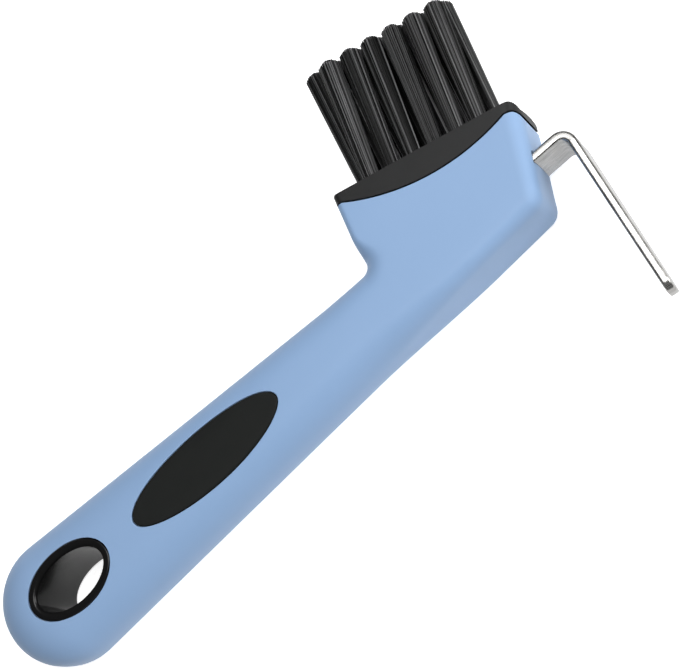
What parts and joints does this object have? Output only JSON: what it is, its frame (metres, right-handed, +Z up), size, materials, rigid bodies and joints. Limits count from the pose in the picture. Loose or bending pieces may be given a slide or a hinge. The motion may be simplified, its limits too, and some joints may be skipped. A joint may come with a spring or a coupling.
{
  "type": "hoof pick",
  "caption": "Hoof pick with a soft two-colour handle, an oval hanging eyelet, a bent flat steel pick and a stiff bristle brush block.",
  "frame": {"origin": "middle of the bounding box's bottom face, with the tool lying on its side", "axes": "+X along the handle from the hanging hole to the pick, +Y to the brush side, +Z up through the handle's thickness"},
  "size_m": [0.1912, 0.1062, 0.022],
  "materials": {
    "soft_blue": "satin soft-touch moulding",
    "core_black": "fine satin moulding",
    "pad_black": "matte",
    "eyelet_black": "semi-gloss",
    "nylon_black": "drawn nylon filament",
    "pick_steel": "polished plated steel",
    "anchor_wire": "drawn flat wire"
  },
  "bodies": {
    "root": {"soft_handle": "soft_blue", "brush_core": "core_black", "hang_eyelet": "eyelet_black", "grip_pad_upper": "pad_black", "grip_pad_lower": "pad_black", "steel_pick": "pick_steel", "tuft_upper_1": "nylon_black", "tuft_upper_2": "nylon_black", "tuft_upper_3": "nylon_black", "tuft_upper_4": "nylon_black", "tuft_upper_5": "nylon_black", "tuft_upper_6": "nylon_black", "tuft_middle_1": "nylon_black", "tuft_middle_2": "nylon_black", "tuft_middle_3": "nylon_black", "tuft_middle_4": "nylon_black", "tuft_middle_5": "nylon_black", "tuft_middle_6": "nylon_black", "tuft_middle_7": "nylon_black", "tuft_lower_1": "nylon_black", "tuft_lower_2": "nylon_black", "tuft_lower_3": "nylon_black", "tuft_lower_4": "nylon_black", "tuft_lower_5": "nylon_black", "tuft_lower_6": "nylon_black", "anchor_upper_1": "anchor_wire", "anchor_upper_2": "anchor_wire", "anchor_upper_3": "anchor_wire", "anchor_upper_4": "anchor_wire", "anchor_upper_5": "anchor_wire", "anchor_upper_6": "anchor_wire", "anchor_middle_1": "anchor_wire", "anchor_middle_2": "anchor_wire", "anchor_middle_3": "anchor_wire", "anchor_middle_4": "anchor_wire", "anchor_middle_5": "anchor_wire", "anchor_middle_6": "anchor_wire", "anchor_middle_7": "anchor_wire", "anchor_lower_1": "anchor_wire", "anchor_lower_2": "anchor_wire", "anchor_lower_3": "anchor_wire", "anchor_lower_4": "anchor_wire", "anchor_lower_5": "anchor_wire", "anchor_lower_6": "anchor_wire"}
  },
  "joints": []
}
